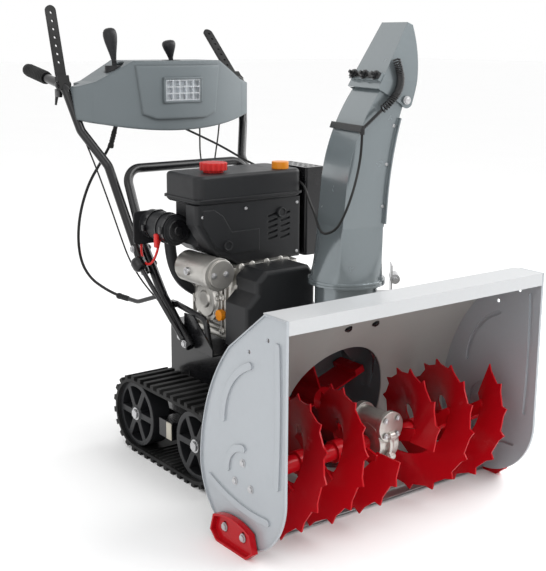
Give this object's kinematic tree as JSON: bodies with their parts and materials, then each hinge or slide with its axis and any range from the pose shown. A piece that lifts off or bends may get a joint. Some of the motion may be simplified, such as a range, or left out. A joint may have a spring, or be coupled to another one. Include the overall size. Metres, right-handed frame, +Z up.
{
  "type": "tracked snow blower",
  "caption": "Walk-behind tracked snow blower with a wide bucket, serrated ribbon auger, turning discharge chute, open engine, rubber tracks and a dashboard with lamp.",
  "frame": {"origin": "on the ground, in the middle of the machine's length and width", "axes": "+X forward out of the bucket's mouth, +Y to the machine's left, +Z up"},
  "size_m": [1.3346, 0.798, 1.1636],
  "materials": {
    "plate_silver": "satin",
    "shell_grey": "satin",
    "rail_white": "satin",
    "chute_grey": "semi-gloss",
    "auger_red": "gloss",
    "cast_silver": "cast",
    "tube_black": "gloss",
    "track_rubber": "matt",
    "engine_black": "satin",
    "panel_grey": "satin",
    "grip_rubber": "matt",
    "lamp_lens": "gloss",
    "steel": "zinc plated",
    "frame_beige": "satin",
    "cap_yellow": "satin"
  },
  "bodies": {
    "chassis": {"auger_bearings": "plate_silver", "auger_gearbox": "cast_silver", "axles": "tube_black", "belt_cover": "engine_black", "bucket_shell": "shell_grey", "chassis_tub": "tube_black", "chute_drive": "steel", "clutch_levers": "engine_black", "dashboard": "panel_grey", "deflector_cable": "grip_rubber", "engine_block": "cast_silver", "engine_controls": "engine_black", "engine_shroud": "engine_black", "fuel_cap": "auger_red", "fuel_tank": "engine_black", "handle_braces": "tube_black", "handle_brackets": "plate_silver", "handle_grips": "grip_rubber", "headlamp": "lamp_lens", "height_lever": "tube_black", "impeller_drum": "shell_grey", "joysticks": "engine_black", "lower_handle": "tube_black", "muffler": "tube_black", "muffler_guard": "tube_black", "oil_caps": "cap_yellow", "recoil_starter": "engine_black", "scraper_bar": "steel", "shift_cable": "grip_rubber", "shift_link": "tube_black", "side_plate_left": "plate_silver", "side_plate_right": "plate_silver", "skid_shoes": "auger_red", "starter_motor": "cast_silver", "stick_gimbals": "engine_black", "stop_key": "auger_red", "top_rail": "rail_white", "track_frame_left": "frame_beige", "track_frame_right": "frame_beige", "track_left": "track_rubber", "track_right": "track_rubber", "track_wheels_left": "engine_black", "track_wheels_right": "engine_black", "upper_handle_left": "tube_black", "upper_handle_right": "tube_black"},
    "auger": {"auger_shaft": "auger_red", "auger_flights_right": "auger_red", "auger_flights_left": "auger_red"},
    "impeller": {"impeller": "auger_red"},
    "chute": {"chute_duct": "chute_grey", "deflector_pins": "steel", "cable_bracket": "tube_black"},
    "deflector": {"deflector_hood": "chute_grey", "deflector_spring": "tube_black"}
  },
  "joints": [
    {"name": "auger_spin", "type": "hinge", "parent": "chassis", "child": "auger", "pos_m": [0.514, 0, 0.17], "axis": [0, 1, 0], "continuous": true},
    {"name": "impeller_spin", "type": "hinge", "parent": "chassis", "child": "impeller", "pos_m": [0.27, 0, 0.215], "axis": [1, 0, 0], "continuous": true},
    {"name": "chute_swivel", "type": "hinge", "parent": "chassis", "child": "chute", "pos_m": [0.304, 0.08, 0.5065], "axis": [0, 0, 1], "range_deg": [-178, 22], "deforming": ["deflector_cable"]},
    {"name": "deflector_tilt", "type": "hinge", "parent": "chute", "child": "deflector", "pos_m": [0.32666, 0.18662, 0.94], "axis": [0.9781, -0.2079, 0], "range_deg": [-55, 5], "deforming": ["deflector_spring"]}
  ],
  "couplings": [
    {"joint": "impeller_spin", "follows": "auger_spin", "ratio": 10}
  ]
}
